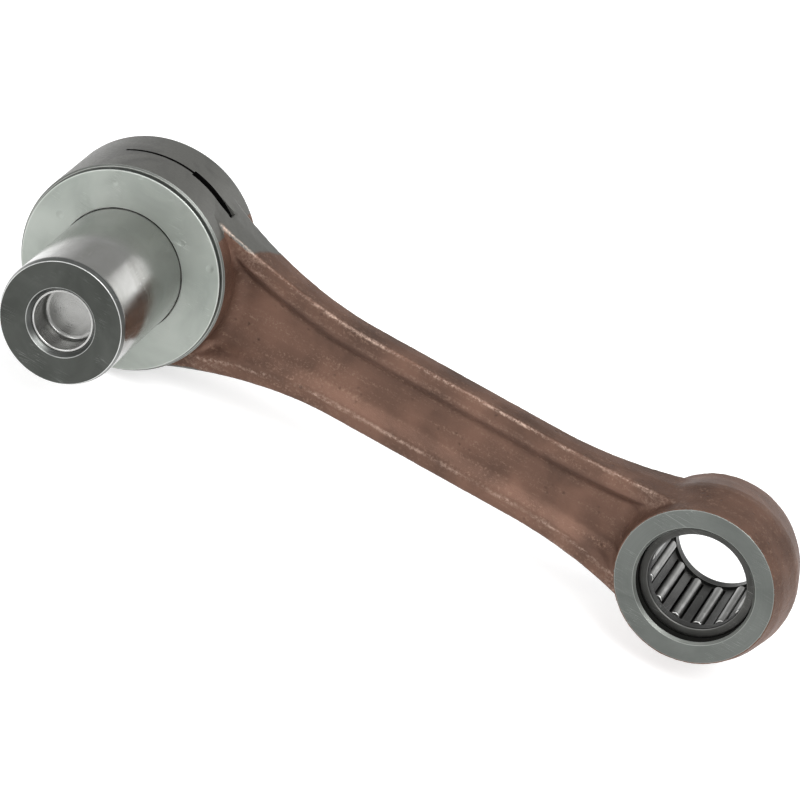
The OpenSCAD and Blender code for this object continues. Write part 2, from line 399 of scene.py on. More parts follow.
def settle(made: Piece) -> None:
    """Applies an object's modifiers and keeps the result as its mesh.

    Args:
        made: The object, whose modifiers are cleared.
    """
    graph = bpy.context.evaluated_depsgraph_get()
    old = made.data
    made.data = bpy.data.meshes.new_from_object(made.evaluated_get(graph))
    made.modifiers.clear()
    bpy.data.meshes.remove(old)
    made.data.name = made.name


# ---- Finishes --------------------------------------------------------------

Socket = bpy.types.NodeSocket
Entry = float | tuple | Socket
FINE_RINGS = 9000.0     # scale of the fine rings that turning and grinding leave
RINGS_TINT = 0.1        # how much of the bright colour those rings add
SCRATCH_TINT = 0.6      # how much of it a scratch adds


def linear(colour: Rgb) -> tuple[float, float, float, float]:
    """Turns an 8-bit display colour into the renderer's own scale."""
    made = [c / 255 / 12.92 if c < 10.3 else ((c / 255 + 0.055) / 1.055) ** 2.4 for c in colour]
    return made[0], made[1], made[2], 1.0


class Bench:
    """Places and links the nodes of one tree."""

    def __init__(self, tree: bpy.types.NodeTree) -> None:
        """Starts with an empty tree."""
        self.tree = tree
        tree.nodes.clear()

    def add(self, kind: str, **inputs: object) -> bpy.types.Node:
        """Adds a node.

        Args:
            kind: Name of the node type without its ShaderNode prefix.
            **inputs: Properties of the node, and sockets by name with _ for a
                space, each a value or another node's output socket.

        Returns:
            The new node.
        """
        node = self.tree.nodes.new(kind if kind.startswith("Node") else "ShaderNode" + kind)
        for key, value in inputs.items():
            name = key.replace("_", " ").strip()
            socket = node.inputs.get(name) or node.inputs.get(name.title())
            if key.startswith("in") and key[2:].isdigit():
                socket = node.inputs[int(key[2:])]
            if socket is None:
                setattr(node, key, value)
            elif isinstance(value, Socket):
                self.tree.links.new(value, socket)
            else:
                socket.default_value = value
        return node

    def maths(self, operation: str, *values: Entry) -> Socket:
        """Adds a Math node.

        Args:
            operation: What it does.
            *values: Its inputs in order, each a number or a socket.

        Returns:
            Its result.
        """
        node = self.add("Math", operation=operation,
                        **{f"in{i}": v for i, v in enumerate(values)})
        return node.outputs[0]

    def spread(self, value: Socket, low: float, high: float,
               to_low: float = 0.0, to_high: float = 1.0) -> Socket:
        """Maps a range of a value to another range, clamped.

        Args:
            value: The value.
            low: Start of its range.
            high: End of its range.
            to_low: What the start becomes.
            to_high: What the end becomes.

        Returns:
            The mapped value.
        """
        node = self.add("MapRange", Value=value)
        for name, number in (("From Min", low), ("From Max", high),
                             ("To Min", to_low), ("To Max", to_high)):
            node.inputs[name].default_value = number
        return node.outputs[0]

    def times(self, first: Entry, second: Entry) -> Socket:
        """Multiplies two values."""
        return self.maths("MULTIPLY", first, second)

    def noise(self, at: Socket, scale: float, detail: float, **more: float) -> Socket:
        """Adds a noise texture.

        Args:
            at: The place that it reads.
            scale: Its scale.
            detail: Its layers of detail.
            **more: Its other sockets by name.

        Returns:
            Its value.
        """
        return self.add("TexNoise", Vector=at, Scale=scale, Detail=detail, **more).outputs[0]

    def layer(self, name: str) -> Socket:
        """Reads a number that mark_points() keeps."""
        return self.add("Attribute", attribute_name=name).outputs["Fac"]

    def close(self, colour: Socket, rough: Socket, metal: float, height: Socket,
              relief: float) -> None:
        """Ends a material with its surface.

        Args:
            colour: Base colour.
            rough: Roughness.
            metal: How metallic it is, 0 to 1.
            height: Fine relief, as a height.
            relief: Millimetres that a height of 1 stands for.
        """
        bump = self.add("Bump", Strength=1.0, Distance=relief * MM, Height=height)
        shader = self.add("BsdfPrincipled", Base_Color=colour, Roughness=rough,
                          Metallic=metal, Normal=bump.outputs[0])
        self.add("OutputMaterial", Surface=shader.outputs[0])

    def blend(self, mask: Entry, first: Entry, second: Entry) -> Socket:
        """Mixes two colours.

        Args:
            mask: 0 for the first colour, 1 for the second.
            first: The first colour.
            second: The second colour.

        Returns:
            The mixed colour.
        """
        node = self.add("Mix", data_type="RGBA")
        for socket, value in ((node.inputs[0], mask), (node.inputs[6], first),
                              (node.inputs[7], second)):
            if isinstance(value, Socket):
                self.tree.links.new(value, socket)
            else:
                socket.default_value = value
        return node.outputs[2]


def open_group(name: str, *labels: str) -> tuple[Bench, Socket]:
    """Starts a shared node group that turns a place into numbers.

    Args:
        name: Name of the group.
        *labels: Names of the numbers.

    Returns:
        Its bench and the place that it is given.
    """
    tree = bpy.data.node_groups.new(name, "ShaderNodeTree")
    tree.interface.new_socket("Vector", in_out="INPUT", socket_type="NodeSocketVector")
    for label in labels:
        tree.interface.new_socket(label, in_out="OUTPUT", socket_type="NodeSocketFloat")
    bench = Bench(tree)
    return bench, bench.add("NodeGroupInput").outputs["Vector"]


def open_material(name: str) -> tuple[bpy.types.Material, Bench]:
    """Starts a material with no nodes in it.

    Args:
        name: Name of the material.

    Returns:
        The material and the bench of its tree.
    """
    made = bpy.data.materials.new(name)
    made.use_nodes = True
    return made, Bench(made.node_tree)


class SharedEffects:
    """The effects that several finishes use, each built once."""

    def __init__(self) -> None:
        """Builds the groups."""
        self.lathe = self.lathe_lines()
        self.skin = self.forged_skin()
        self.handling = self.handling_marks()

    def lathe_lines(self) -> bpy.types.NodeTree:
        """Fine rings round the Y axis, as a turning or grinding tool leaves.

        Returns:
            The group.
        """
        bench, at = open_group("lathe_lines", "Lines")
        parts = bench.add("SeparateXYZ", Vector=at)
        flat = bench.add("CombineXYZ", X=parts.outputs[0], Z=parts.outputs[2])
        radius = bench.add("VectorMath", operation="LENGTH", in0=flat.outputs[0])
        angle = bench.maths("ARCTAN2", parts.outputs[2], parts.outputs[0])
        around = bench.add("CombineXYZ", X=radius.outputs["Value"], Y=parts.outputs[1])
        scaled = bench.add("VectorMath", operation="SCALE", in0=around.outputs[0],
                           Scale=FINE_RINGS)
        drift = bench.add("CombineXYZ", Z=bench.times(bench.maths("SINE", angle), 1.2))
        moved = bench.add("VectorMath", operation="ADD", in0=scaled.outputs[0],
                          in1=drift.outputs[0])
        bench.add("NodeGroupOutput", Lines=bench.noise(moved.outputs[0], 1.0, 3.0, Roughness=0.7))
        return bench.tree

    def forged_skin(self) -> bpy.types.NodeTree:
        """Cloudy colour, fine grit and small pits of a plated forging.

        Returns:
            The group.
        """
        bench, at = open_group("forged_skin", "Cloud", "Grit", "Pits", "Streaks")
        cloud = bench.noise(at, 120.0, 3.0, Roughness=0.5, Distortion=0.3)
        grit = bench.noise(at, 1900.0, 5.0, Roughness=0.72)
        cells = bench.add("TexVoronoi", Vector=at, Scale=700.0, Randomness=1.0)
        pits = bench.spread(cells.outputs["Distance"], 0.06, 0.3, 1.0, 0.0)
        pits = bench.times(pits, bench.spread(bench.noise(at, 230.0, 2.0), 0.56, 0.68))
        stretch = bench.add("Mapping", vector_type="POINT", Vector=at)
        stretch.inputs["Scale"].default_value = (60.0, 700.0, 900.0)
        streaks = bench.noise(stretch.outputs[0], 1.0, 3.0, Roughness=0.6)
        bench.add("NodeGroupOutput", Cloud=cloud, Grit=grit, Pits=pits, Streaks=streaks)
        return bench.tree

    def handling_marks(self) -> bpy.types.NodeTree:
        """Sparse fine scratches, small dents and soft smudges.

        Returns:
            The group.
        """
        bench, at = open_group("handling_marks", "Scratches", "Smudges", "Dents")
        marks: Entry = 0.0
        for turned, scale in ((0.5, (90.0, 90.0, 2600.0)), (2.1, (110.0, 110.0, 3200.0))):
            lay = bench.add("Mapping", vector_type="POINT", Vector=at)
            lay.inputs["Rotation"].default_value = (0.0, turned, 0.0)
            lay.inputs["Scale"].default_value = scale
            wave = bench.maths("SUBTRACT", bench.noise(lay.outputs[0], 1.0, 0.0), 0.5)
            line = bench.spread(bench.maths("ABSOLUTE", wave), 0.0, 0.012, 1.0, 0.0)
            marks = bench.maths("MAXIMUM", marks, line)
        marks = bench.times(marks, bench.spread(bench.noise(at, 190.0, 1.0), 0.5, 0.7))
        smudge = bench.noise(at, 95.0, 3.0, Roughness=0.55, Distortion=0.8)
        cells = bench.add("TexVoronoi", Vector=at, Scale=210.0)
        dents = bench.spread(cells.outputs["Distance"], 0.05, 0.17, 1.0, 0.0)
        bench.add("NodeGroupOutput", Scratches=marks, Smudges=smudge, Dents=dents)
        return bench.tree


@dataclass(frozen=True)
class Finish:
    """A worked metal surface."""

    name: str
    base: Rgb
    dark: Rgb
    bright: Rgb
    rough: float
    metal: float = 1.0
    mark: Mark = Mark.GROUND
    relief: float = 0.02
    dents: float = 0.0
    # Share of the bright colour on small outer corners: a painted highlight.
    edge_highlight: float = 0.6

    def build(self, effects: SharedEffects) -> bpy.types.Material:
        """Makes the material.

        Args:
            effects: The shared effect groups.

        Returns:
            The new material.
        """
        made, bench = open_material(self.name)
        at = bench.add("TexCoord").outputs["Object"]
        lathe = bench.add("Group", node_tree=effects.lathe, Vector=at)
        marks = bench.add("Group", node_tree=effects.handling, Vector=at)
        ground = self.mark is Mark.GROUND
        bright = linear(self.bright)
        smudge = bench.spread(marks.outputs["Smudges"], 0.35, 0.72)
        colour = bench.blend(smudge, linear(self.base), linear(self.dark))
        lines = bench.spread(lathe.outputs["Lines"], 0.3, 0.7)
        colour = bench.blend(bench.times(lines, RINGS_TINT if ground else 0.0), colour, bright)
        # Small outer corners take the bright colour: a painted highlight on the edges.
        edge_highlight = bench.times(bench.layer("edge"), self.edge_highlight)
        scratched = bench.times(marks.outputs["Scratches"], SCRATCH_TINT)
        colour = bench.blend(bench.maths("MAXIMUM", edge_highlight, scratched), colour, bright)
        rough = bench.maths("ADD", bench.spread(lines, 0.0, 1.0, -0.05, 0.05),
                            bench.spread(smudge, 0.0, 1.0, self.rough, self.rough + 0.1))
        height = bench.times(lines, 0.3 if ground else 0.0)
        for name, depth in (("Scratches", 0.5), ("Dents", self.dents)):
            height = bench.maths("SUBTRACT", height, bench.times(marks.outputs[name], depth))
        bench.close(colour, rough, self.metal, height, self.relief)
        return made


@dataclass(frozen=True)
class PlatedForging:
    """Copper plate over a forged skin, bright on the edges from wear of the plating and a painted
    highlight, bare where turned.
    """

    name: str = "copper_plated_forging"
    copper: Rgb = (114, 85, 71)
    shade: Rgb = (74, 54, 44)
    light: Rgb = (152, 124, 107)
    # Crest colour: wear of the plating and a painted highlight.
    rub_and_highlight_colour: Rgb = (206, 180, 164)
    bare: Rgb = (98, 98, 94)
    stain: Rgb = (78, 78, 75)
    rough: float = 0.52
    metal: float = 0.6
    relief: float = 0.16

    def build(self, effects: SharedEffects) -> bpy.types.Material:
        """Makes the material.

        Args:
            effects: The shared effect groups.

        Returns:
            The new material.
        """
        made, bench = open_material(self.name)
        at = bench.add("TexCoord").outputs["Object"]
        skin = bench.add("Group", node_tree=effects.skin, Vector=at)
        marks = bench.add("Group", node_tree=effects.handling, Vector=at)
        cloud, grit, pits, streaks = (skin.outputs[n] for n in ("Cloud", "Grit", "Pits", "Streaks"))
        colour = bench.blend(bench.spread(cloud, 0.3, 0.7, 0.2, 1.0), linear(self.shade),
                             linear(self.copper))
        pale = bench.times(bench.spread(grit, 0.5, 0.72), bench.spread(streaks, 0.42, 0.7))
        colour = bench.blend(pale, colour, linear(self.light))
        colour = bench.blend(bench.times(pits, 0.7), colour, linear(self.shade))
        ragged = bench.spread(cloud, 0.3, 0.7, -0.12, 0.12)
        bare = bench.spread(bench.maths("ADD", bench.layer("bare"), ragged), 0.4, 0.62)
        steel = bench.blend(bench.spread(marks.outputs["Smudges"], 0.5, 0.7),
                            linear(self.bare), linear(self.stain))
        colour = bench.blend(bare, colour, steel)
        speckle = bench.maths("ADD", grit, bench.times(streaks, 0.6))
        patch = bench.spread(bench.noise(at, 210.0, 2.0), 0.36, 0.62, 0.25, 1.0)
        speckle = bench.times(bench.spread(speckle, 0.72, 0.95), patch)
        # The crests take the bright colour, speckled: wear of the plating and a painted highlight.
        colour = bench.blend(bench.times(bench.layer("rub_and_highlight"), speckle), colour,
                             linear(self.rub_and_highlight_colour))
        rough = bench.spread(grit, 0.3, 0.7, self.rough - 0.06, self.rough + 0.1)
        rough = bench.maths("ADD", rough, bench.times(bare, -0.08))
        height = bench.maths("SUBTRACT", bench.times(grit, 0.5), bench.times(pits, 0.9))
        height = bench.times(height, bench.spread(bare, 0.0, 1.0, 1.0, 0.15))
        bench.close(colour, rough, self.metal, height, self.relief)
        return made


FINISHES = {
    "small_eye_face": Finish("ground_eye_face", (99, 102, 99), (88, 91, 88), (152, 156, 152), 0.42,
                             relief=0.01),
    # Bores are coloured near black: painted shade inside the bores.
    "eye_bore": Finish("honed_eye_bore", (48, 48, 46), (36, 36, 35), (80, 80, 78), 0.7),
    # The oil slot's walls are coloured near black: painted shade in the narrow slot.
    "slot": Finish("sawn_slot_wall", (26, 26, 25), (18, 18, 18), (40, 40, 39), 0.7, edge_highlight=0.0),
    "turned_edge": Finish("turned_eye_face", (112, 115, 111), (96, 98, 95), (176, 178, 174), 0.42),
    "pin_shaft": Finish("ground_pin_shaft", (170, 170, 168), (152, 152, 148), (200, 200, 199), 0.14,
                        relief=0.002),
    "pin_end": Finish("dark_pin_end", (78, 80, 77), (66, 68, 65), (130, 132, 130), 0.45,
                      mark=Mark.PLAIN, relief=0.01, dents=0.3),
    "pin_chamfer": Finish("pin_lead_chamfer", (110, 112, 110), (92, 94, 92), (180, 182, 180), 0.3),
    # The rounded rim beside each pin end is coloured bright: a painted highlight.
    "pin_rim": Finish("pin_bright_edge", (170, 172, 170), (150, 152, 150), (225, 226, 225), 0.34),
    "washer": Finish("silver_plated_washer", (166, 171, 165), (150, 156, 150), (206, 210, 205),
                     0.45, metal=0.8, mark=Mark.PLAIN, relief=0.07, dents=1.4),
    # The washers' outer rims are coloured dark: painted shade for the gap beside each washer.
    "washer_side": Finish("washer_side_wall", (72, 75, 72), (58, 60, 58), (160, 164, 160), 0.5,
                          edge_highlight=0.3),
    "plug": Finish("drawn_plug_steel", (158, 158, 156), (132, 132, 130), (214, 214, 212), 0.24),
    "cage": Finish("dark_cage_steel", (62, 62, 60), (46, 46, 44), (150, 150, 148), 0.36),
    "roller": Finish("lapped_roller_steel", (160, 160, 158), (138, 138, 136), (232, 232, 230), 0.32,
                     mark=Mark.PLAIN, relief=0.004),
}


class Paint:
    """Gives out each finish as a material, made once."""

    def __init__(self) -> None:
        """Builds the shared effects."""
        self.effects = SharedEffects()
        self.made: dict[str, bpy.types.Material] = {}

    def material(self, name: str) -> bpy.types.Material:
        """Finds the material of a finish and makes it the first time.

        Args:
            name: Name of the finish.

        Returns:
            Its material.
        """
        if name not in self.made:
            source = PlatedForging() if name == "forging" else FINISHES[name]
            self.made[name] = source.build(self.effects)
        return self.made[name]

    def coat(self, piece: Piece, *names: str) -> None:
        """Puts finishes into a piece's slots in order."""
        for name in names:
            piece.data.materials.append(self.material(name))


# ---- The rod ---------------------------------------------------------------

DIAGONAL = 0.7071       # brings a chamfer's field to millimetres
MOUTH = 0.5             # chamfer at both mouths of an eye's bore
WIDER = 1.0             # the forging's own bores are wider than the rings' by this
UNDER_CYLINDER = 0.12   # and it stays this far inside the big eye's cylinder
UNDER_RING = 0.05       # and this far inside the small eye's ring


@dataclass
class Rod:
    """The forged rod with its two machined eyes, sizes in millimetres."""

    centres: float = 120.0
    big_radius: float = 20.0
    big_bore: float = 15.5
    big_half: float = 9.2
    small_radius: float = 15.0
    small_bore: float = 11.0
    small_half: float = 9.2
    ridge_radius: float = 16.7
    ridge_half: float = 0.8
    eye_set: float = 0.5
    land: float = 2.7
    web: float = 2.2
    pocket_side: float = 3.4
    edge_round: float = 0.7
    draft: float = math.tan(math.radians(4.0))
    cell: float = 0.45
    flare_big: float = 46.0
    flare_small: float = 84.0
    saws: tuple[tuple[float, float, float, float], ...] = (
        (87, 6.0, 24.0, 0.8), (65.5, 5.2, 5.4, 2.0))  # angle, depth, wheel radius, width
    body: str = "rod"

    def half_depth(self, x: Array) -> Array:
        """Half depth of the shank.

        Args:
            x: Places along the shank in millimetres.

        Returns:
            The half depth in millimetres.
        """
        big = np.clip((self.flare_big - x) / 30.0, 0.0, 1.5)
        small = np.clip((x - self.flare_small) / 24.0, 0.0, 1.5)
        return 9.0 + 5.7 * big ** 1.85 + 2.2 * small ** 2

    def half_flange(self, x: Array) -> Array:
        """Half thickness over the flanges.

        Args:
            x: Places along the shank in millimetres.

        Returns:
            The half thickness in millimetres.
        """
        big = np.clip((self.flare_big - x) / 30.0, 0.0, 1.2)
        small = np.clip((x - self.flare_small) / 24.0, 0.0, 1.3)
        return 3.0 + 2.0 * big ** 2.5 + 2.7 * small ** 2

    def shank(self, x: Array, y: Array, z: Array) -> Array:
        """The I-section shank as a field.

        Args:
            x: Places along the shank in millimetres.
            y: Places along the bores.
            z: Places across the shank.

        Returns:
            The field, negative inside.
        """
        ay, az = np.abs(y), np.abs(z)
        h, depth = self.half_flange(x), self.half_depth(x)
        land = depth - self.land
        floor = land - self.pocket_side
        u = (az - floor) / self.pocket_side
        rise = h - self.web / 2
        steep = 6.0 * rise / self.pocket_side * np.clip(u * (1 - u), 0.0, 0.25)
        pocket = (ay - self.web / 2 - rise * ease(u)) / np.sqrt(1.0 + steep ** 2)
        side = az - depth - (h - ay) * self.draft
        ends = np.abs(x - self.centres / 2) - self.centres / 2 + 8.0
        outer = meet_round(ay - h, side, self.edge_round)
        return np.maximum(meet_round(outer, pocket, 0.35), ends)

    def solid(self, x: Array, y: Array, z: Array) -> Array:
        """The whole rod as a field.

        Args:
            x: Places along the shank in millimetres.
            y: Places along the bores.
            z: Places across the shank.

        Returns:
            The field, negative inside.
        """
        ay = np.abs(y)
        big, small = np.hypot(x, z), np.hypot(x - self.centres, z)
        inset = self.eye_set * np.clip((self.small_half - ay) / 2.5, 0.0, 1.0)
        outer = np.hypot(x - self.centres - inset, z)
        skin = 0.04 * lumps(x, y, z)
        slope = (self.ridge_radius - self.small_radius - 0.12) / (self.small_half - self.ridge_half)
        rim = outer - self.ridge_radius + np.maximum(ay - self.ridge_half, 0.0) * slope
        forged = meet_round(rim * 0.98, ay - self.small_half + 0.08, 0.1)
        az = np.abs(z)
        forged = join_round(self.shank(x, y, z), forged, 0.5 + 3.0 * ease((9.0 - az) / 5.0)) + skin
        wheel = self.chamfered(big, ay, self.big_radius - UNDER_CYLINDER,
                               self.big_half - 0.1, 0.6)
        made = join_round(forged, wheel, 0.4 + 2.6 * ease((13.0 - az) / 6.0))
        made = np.minimum(made, self.chamfered(small, ay, self.small_radius - UNDER_RING,
                                               self.small_half - UNDER_RING, 0.7))
        for radius, bore, half in ((big, self.big_bore + WIDER, self.big_half),
                                   (small, self.small_bore + WIDER, self.small_half)):
            made = np.maximum(made, bore - radius)
            made = np.maximum(made, (ay - half + bore + MOUTH - radius) * DIAGONAL)
        for angle, deep, wheel_r, width in self.saws:
            reach, a = self.big_radius - deep + wheel_r, math.radians(angle)
            gap = np.hypot(x - reach * math.cos(a), z - reach * math.sin(a)) - wheel_r - 0.05
            made = np.maximum(made, -np.maximum(gap, ay - width / 2 - 0.1))
        return made

    @staticmethod
    def chamfered(radius: Array, ay: Array, r: float, half: float,
                  c: float) -> Array:
        """A disc with chamfered edges as a field.

        Args:
            radius: Distances from its axis.
            ay: Distances from its mid plane.
            r: Its radius.
            half: Half its thickness.
            c: Width of the chamfers.

        Returns:
            The field, negative inside.
        """
        wall, face = radius - r, ay - half
        return np.maximum(np.maximum(wall, face), (wall + face + c) * DIAGONAL)

    def build(self) -> Piece:
        """Meshes the rod and marks where it is bare and where its crests take wear of the plating
        and a painted highlight.

        Returns:
            The rod, its faces sorted into the slots that dress() fills.
        """
        off = self.cell * 0.37
        low = (-self.big_radius - off - 1, -self.big_half - off - 0.5, -self.big_radius - off - 1)
        high = (self.centres + self.ridge_radius + 2, self.big_half + 1, self.big_radius + 1)
        points, faces = contour(self.solid, low, high, self.cell)
        free = (np.hypot(points[:, 0], points[:, 2]) > self.big_radius + 0.5) & (
            np.abs(points[:, 1]) < self.small_half - 1.0) & (
            np.hypot(points[:, 0] - self.centres, points[:, 2]) > self.small_radius - 2.0)
        points = relax(points, faces, self.solid, free)
        rod = publish("rod_forging", points, faces.tolist(), 38.0)
        x, y, z = points.T
        ay, az = np.abs(y), np.abs(z)
        big = np.hypot(x, z)
        depth, h = self.half_depth(x), self.half_flange(x)
        flank = ease((az - depth + 0.9) / 0.7)
        bare = np.clip((27.0 - big + 0.35 * y) / 2.5, 0.0, 1.0) * flank
        turned = np.abs(np.degrees(np.arctan2(z, x)))
        bare = np.maximum(bare, (big < self.big_radius + 0.15) * ease((turned - 43.0) / 6.0))
        # Crest mask for wear of the plating and a painted highlight: the upper flange's outer edge
        # and the lower flange's inner edge are brightest, where light catches them; tip and root
        # add bright spots near the eyes.
        face = np.exp(-((ay - h + 0.1) / 0.4) ** 2)
        brow = face * np.exp(-((az - depth + 0.2) / 0.27) ** 2)
        lip = face * np.exp(-((az - depth + self.land) / 0.3) ** 2)
        crest = np.where(z > 0, brow + 0.15 * lip, 0.2 * brow + 0.7 * lip)
        tip = np.exp(-((x - self.centres + 12.5) / 3.5) ** 2) * face * (az > depth - self.land)
        root = np.exp(-((x - 21.0) / 3.0) ** 2) * face * (az > depth - self.land)
        crest = np.maximum(crest, np.maximum(0.45 * tip, 0.3 * root))
        crest *= (big > 20.3) & (x < self.centres - 8)
        mark_points(rod, "bare", bare)
        mark_points(rod, "rub_and_highlight", np.clip(crest, 0, 1))
        middle = points[faces].mean(axis=1)
        m_big = np.hypot(middle[:, 0], middle[:, 2])
        m_small = np.hypot(middle[:, 0] - self.centres, middle[:, 2])
        away = np.abs(middle[:, 1])
        index = np.zeros(len(faces), dtype=np.int32)
        index[(m_small < self.small_radius - 0.3) & (away > self.small_half - 0.5)] = 1
        index[(m_big < self.big_radius + 0.05) & (away > self.big_half - 0.45)] = 2
        # Faces inside the big eye, the oil slot's walls among them, take painted shade.
        index[(m_big < self.big_radius - 0.25) & (away < self.big_half - 0.6)] = 3
        sort_faces(rod, index)
        return rod

    @staticmethod
    def eye_ring(name: str, sizes: Spot, edge: float, rounding: float,
                 steps: int) -> Piece:
        """Turns the ring of an eye, the same on both sides of its mid plane.

        Args:
            name: Name of the piece.
            sizes: Radius, bore radius and half thickness.
            edge: Chamfer at its outer edges.
            rounding: Rounding of that chamfer's corners.
            steps: Steps round the axis.

        Returns:
            The ring, its axis through the origin.
        """
        r, b, h = sizes
        half = [(b, -h + MOUTH, 0.05), (b + MOUTH, -h, 0.05),
                (r - edge, -h, rounding), (r, -h + edge, rounding)]
        corners = half + [(radius, -height, soft) for radius, height, soft in half[::-1]]
        return turn(name, soften(corners, 3), steps, 25.0)

    def small_ring(self) -> Piece:
        """Turns the ground ring of the small eye, with its bore and mouths.

        Returns:
            The ring, its faces sorted into the slots that dress() fills.
        """
        b, h = self.small_bore, self.small_half
        ring = self.eye_ring("small_eye_ground_ring", (self.small_radius, b, h), 0.12, 0.04, 192)
        radius, away = around_axis(ring)
        away = np.abs(away)
        # Deep in the bore the faces take painted shade; near the mouths they take the lighter
        # turned finish.
        deep = (radius < b + 0.02) & (away < h - 2.2)
        sort_faces(ring, np.where(deep, 1, np.where(away < h - 0.02, 2, 0)))
        ring.location.x = self.centres * MM
        return ring

    def big_sleeve(self) -> Piece:
        """Turns the bare cylinder of the big eye and saws its oil slot.

        Returns:
            The cylinder, its faces sorted into the slots that dress() fills.
        """
        r, b, h = self.big_radius, self.big_bore, self.big_half
        sleeve = self.eye_ring("big_eye_cylinder", (r, b, h), 0.35, 0.06, 256)
        saws = []
        for angle, deep, wheel, width in self.saws:
            disc = [(0.0, -width / 2, 0.0), (wheel, -width / 2, 0.05), (wheel, width / 2, 0.05),
                    (0.0, width / 2, 0.0)]
            saw = turn("saw", soften(disc, 2), 192)
            reach, a = (r - deep + wheel) * MM, math.radians(angle)
            saw.data.transform(Matrix.Translation((reach * math.cos(a), 0, reach * math.sin(a))))
            cut = sleeve.modifiers.new("slot", "BOOLEAN")
            cut.object, cut.operation, cut.solver = saw, "DIFFERENCE", "EXACT"
            saws.append(saw)
        settle(sleeve)
        for saw in saws:
            bpy.data.objects.remove(saw)
        sleeve.data.set_sharp_from_angle(angle=math.radians(25))
        radius, away = around_axis(sleeve)
        away = np.abs(away)
        # The bore and the oil slot's walls take painted shade.
        sort_faces(sleeve, np.where(away > h - 0.36, 1, np.where(radius > r - 0.02, 0, np.where(
            (away < 2) & (radius > b + 0.02), 3, 2))))
        spots = np.array([[*v.co] for v in sleeve.data.vertices]) / MM
        angle = np.abs(np.degrees(np.arctan2(spots[:, 2], spots[:, 0])))
        mark_points(sleeve, "bare", ease((angle - 42.0) / 5.0))
        return sleeve

    def dress(self, paint: Paint) -> list[Piece]:
        """Builds the rod, finishes it and ties it to its body.

        Args:
            paint: Gives out the materials.

        Returns:
            The pieces.
        """
        rod, ring, sleeve = self.build(), self.small_ring(), self.big_sleeve()
        paint.coat(rod, "forging", "small_eye_face", "turned_edge", "slot")
        paint.coat(ring, "small_eye_face", "eye_bore", "turned_edge")
        paint.coat(sleeve, "forging", "turned_edge", "eye_bore", "slot")
        for piece in (rod, ring, sleeve):
            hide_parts("rod")
            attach(piece, self.body)
        return [rod, ring, sleeve]


# ---- Crank pin and its plugs -----------------------------------------------


@dataclass
class CrankPin:
    """The hollow ground pin with a pressed cup plug in each end."""

    radius: float = 12.0
    lead: float = 1.0
    lead_depth: float = 0.4
    corner: float = 0.12
    groove_depth: float = 0.2
    front: float = -40.0
    rear: float = 20.0
    bore: float = 5.9
    mouth: float = 6.6
    plug_length: float = 6.0
    plug_recess: float = 1.0
    plug_wall: float = 0.5
    groove_in: float = 9.7
    groove_out: float = 10.35
    body: str = "crank_pin"

    def pin(self) -> Piece:
        """Turns the pin, its lead chamfers softly rounded.

        Returns:
            The pin, its faces sorted into the slots that dress() fills.
        """
        r, f, b, g = self.radius, self.front, self.rear, self.groove_depth
        lead, tip, c = self.lead, self.radius - self.lead_depth, self.corner
        corners = [(self.mouth, f, c), (tip, f, c), (r, f + lead, 0.5),
                   (r, -self.groove_out, 0.05), (r - g, -self.groove_out, 0.05),
                   (r - g, -self.groove_in, 0.05), (r, -self.groove_in, 0.05),
                   (r, self.groove_in, 0.05), (r - g, self.groove_in, 0.05),
                   (r - g, self.groove_out, 0.05), (r, self.groove_out, 0.05),
                   (r, b - lead, 0.5), (tip, b, c), (self.mouth, b, c),
                   (self.bore, b - lead, 0.2), (self.bore, f + lead, 0.2)]
        made = turn("crank_pin_ground", soften(corners), 192, 40.0)
        radius, height = around_axis(made)
        ends = (height < f + 0.004) | (height > b - 0.004)
        # The rounded rim next to each end face takes a painted highlight; the hollow bore takes
        # painted shade.
        rim = (~ends) & ((height < f + 0.13) | (height > b - 0.13)) & (radius > 9)
        chamfer = (~ends) & ((height < f + 1.05) | (height > b - 1.05))
        sort_faces(made, np.where(ends, 1, np.where(rim, 4, np.where(
            chamfer, 2, np.where(radius < 7, 3, 0)))))
        return made

    def plug(self, side: Side) -> Piece:
        """Turns one drawn cup with a rolled lip and a rounded floor corner.

        Args:
            side: The end of the pin that it closes.

        Returns:
            The cup in its place.
        """
        r, t, n = self.bore, self.plug_wall, self.plug_length
        corners = [(0.0, n, 0.0), (r, n, 1.3), (r, 0.0, 0.3), (r - t, 0.0, 0.25),
                   (r - t, n - t, 0.9), (0.0, n - t, 0.0)]
        made = turn(f"{side.name.lower()}_cup_plug", soften(corners, 8), 96, 60.0)
        lip = self.front + self.plug_recess if side is Side.FRONT else self.rear - self.plug_recess
        flip = Matrix.Rotation(0 if side is Side.FRONT else math.pi, 4, "X")
        made.data.transform(Matrix.Translation((0, lip * MM, 0)) @ flip)
        return made

    def dress(self, paint: Paint) -> list[Piece]:
        """Builds the pin and plugs, finishes them and ties them to the pin's body.

        Args:
            paint: Gives out the materials.

        Returns:
            The pieces.
        """
        pin = self.pin()
        paint.coat(pin, "pin_shaft", "pin_end", "pin_chamfer", "eye_bore", "pin_rim")
        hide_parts("crank_pin")
        made = [pin]
        for side in Side:
            plug = self.plug(side)
            paint.coat(plug, "plug")
            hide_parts(f"pin_plug_{side.name.lower()}")
            made.append(plug)
        for piece in made:
            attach(piece, self.body)
        return made


